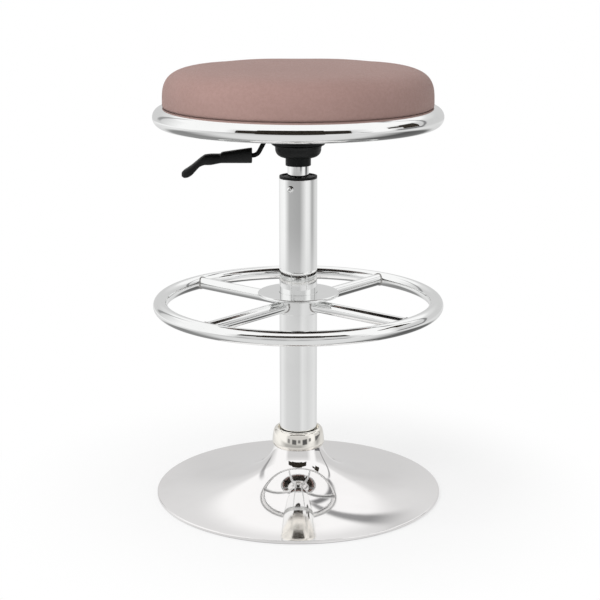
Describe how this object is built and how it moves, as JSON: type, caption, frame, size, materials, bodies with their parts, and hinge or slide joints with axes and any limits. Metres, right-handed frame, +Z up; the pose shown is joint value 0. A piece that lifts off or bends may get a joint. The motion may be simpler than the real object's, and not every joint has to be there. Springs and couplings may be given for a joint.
{
  "type": "bar stool",
  "caption": "Round padded bar stool on a gas lift, with a chrome foot ring on spokes, a release lever under the seat and a spun trumpet base.",
  "frame": {"origin": "on the floor, on the column's axis", "axes": "+Z up along the column, -X towards the release lever"},
  "size_m": [0.385, 0.385, 0.581],
  "materials": {
    "chrome": "polished chrome plate",
    "steel": "bright zinc-plated steel",
    "black_steel": "satin black paint",
    "black_plastic": "moulded satin black",
    "rubber": "matt black",
    "plywood": "raw plywood",
    "foam": "open-cell foam",
    "vinyl": "dusty mauve vinyl, soft sheen",
    "lining": "black non-woven lining"
  },
  "bodies": {
    "base": {"base_trumpet": "chrome", "base_floor_ring": "rubber", "ballast_plate": "black_steel", "base_socket": "steel", "neck_collar": "chrome", "column_tube": "chrome", "column_bush": "black_plastic", "bush_screw": "steel", "foot_hub_sleeve": "chrome", "foot_hub_cap": "chrome", "foot_spoke_1": "chrome", "foot_spoke_2": "chrome", "foot_spoke_3": "chrome", "foot_spoke_4": "chrome", "foot_ring": "chrome", "hub_grub_screw_1": "steel", "hub_grub_screw_2": "steel", "bearing_lower_race": "steel"},
    "lift_rod": {"bearing_cage": "steel", "bearing_upper_race": "steel", "piston_rod": "chrome", "rod_clip": "steel", "bump_stop": "rubber", "piston": "steel", "piston_nut": "steel"},
    "seat": {"gas_cylinder": "chrome", "rod_guide": "steel", "taper_hub": "black_steel", "hub_cover": "black_plastic", "mechanism_plate": "black_steel", "lever_bracket": "black_steel", "lever_pin": "steel", "plate_bolt_1": "steel", "plate_bolt_2": "steel", "plate_bolt_3": "steel", "plate_bolt_4": "steel", "board_insert_1": "steel", "board_insert_2": "steel", "board_insert_3": "steel", "board_insert_4": "steel", "seat_ring": "chrome", "ring_tab_1": "chrome", "ring_tab_2": "chrome", "ring_tab_3": "chrome", "ring_tab_4": "chrome", "tab_screw_1": "steel", "tab_screw_2": "steel", "tab_screw_3": "steel", "tab_screw_4": "steel", "seat_board": "plywood", "seat_foam": "foam", "seat_cover": "vinyl", "seat_dust_cover": "lining"},
    "lever": {"lever_rod": "black_steel", "lever_handle": "black_plastic"},
    "button": {"valve_button": "steel"}
  },
  "joints": [
    {"name": "seat_swivel", "type": "hinge", "parent": "base", "child": "lift_rod", "pos_m": [0, 0, 0.0186], "axis": [0, 0, 1], "continuous": true},
    {"name": "height", "type": "slide", "parent": "lift_rod", "child": "seat", "axis": [0, 0, 1], "range_m": [0, 0.2]},
    {"name": "lever", "type": "hinge", "parent": "seat", "child": "lever", "pos_m": [-0.0265, 0, 0.4918], "axis": [0, 1, 0], "range_deg": [0, 7]},
    {"name": "button", "type": "slide", "parent": "seat", "child": "button", "axis": [0, 0, -1], "range_m": [0, 0.004], "stiffness_N_per_m": 400}
  ],
  "couplings": [
    {"joint": "button", "follows": "lever", "m_per_rad": 0.0305}
  ]
}
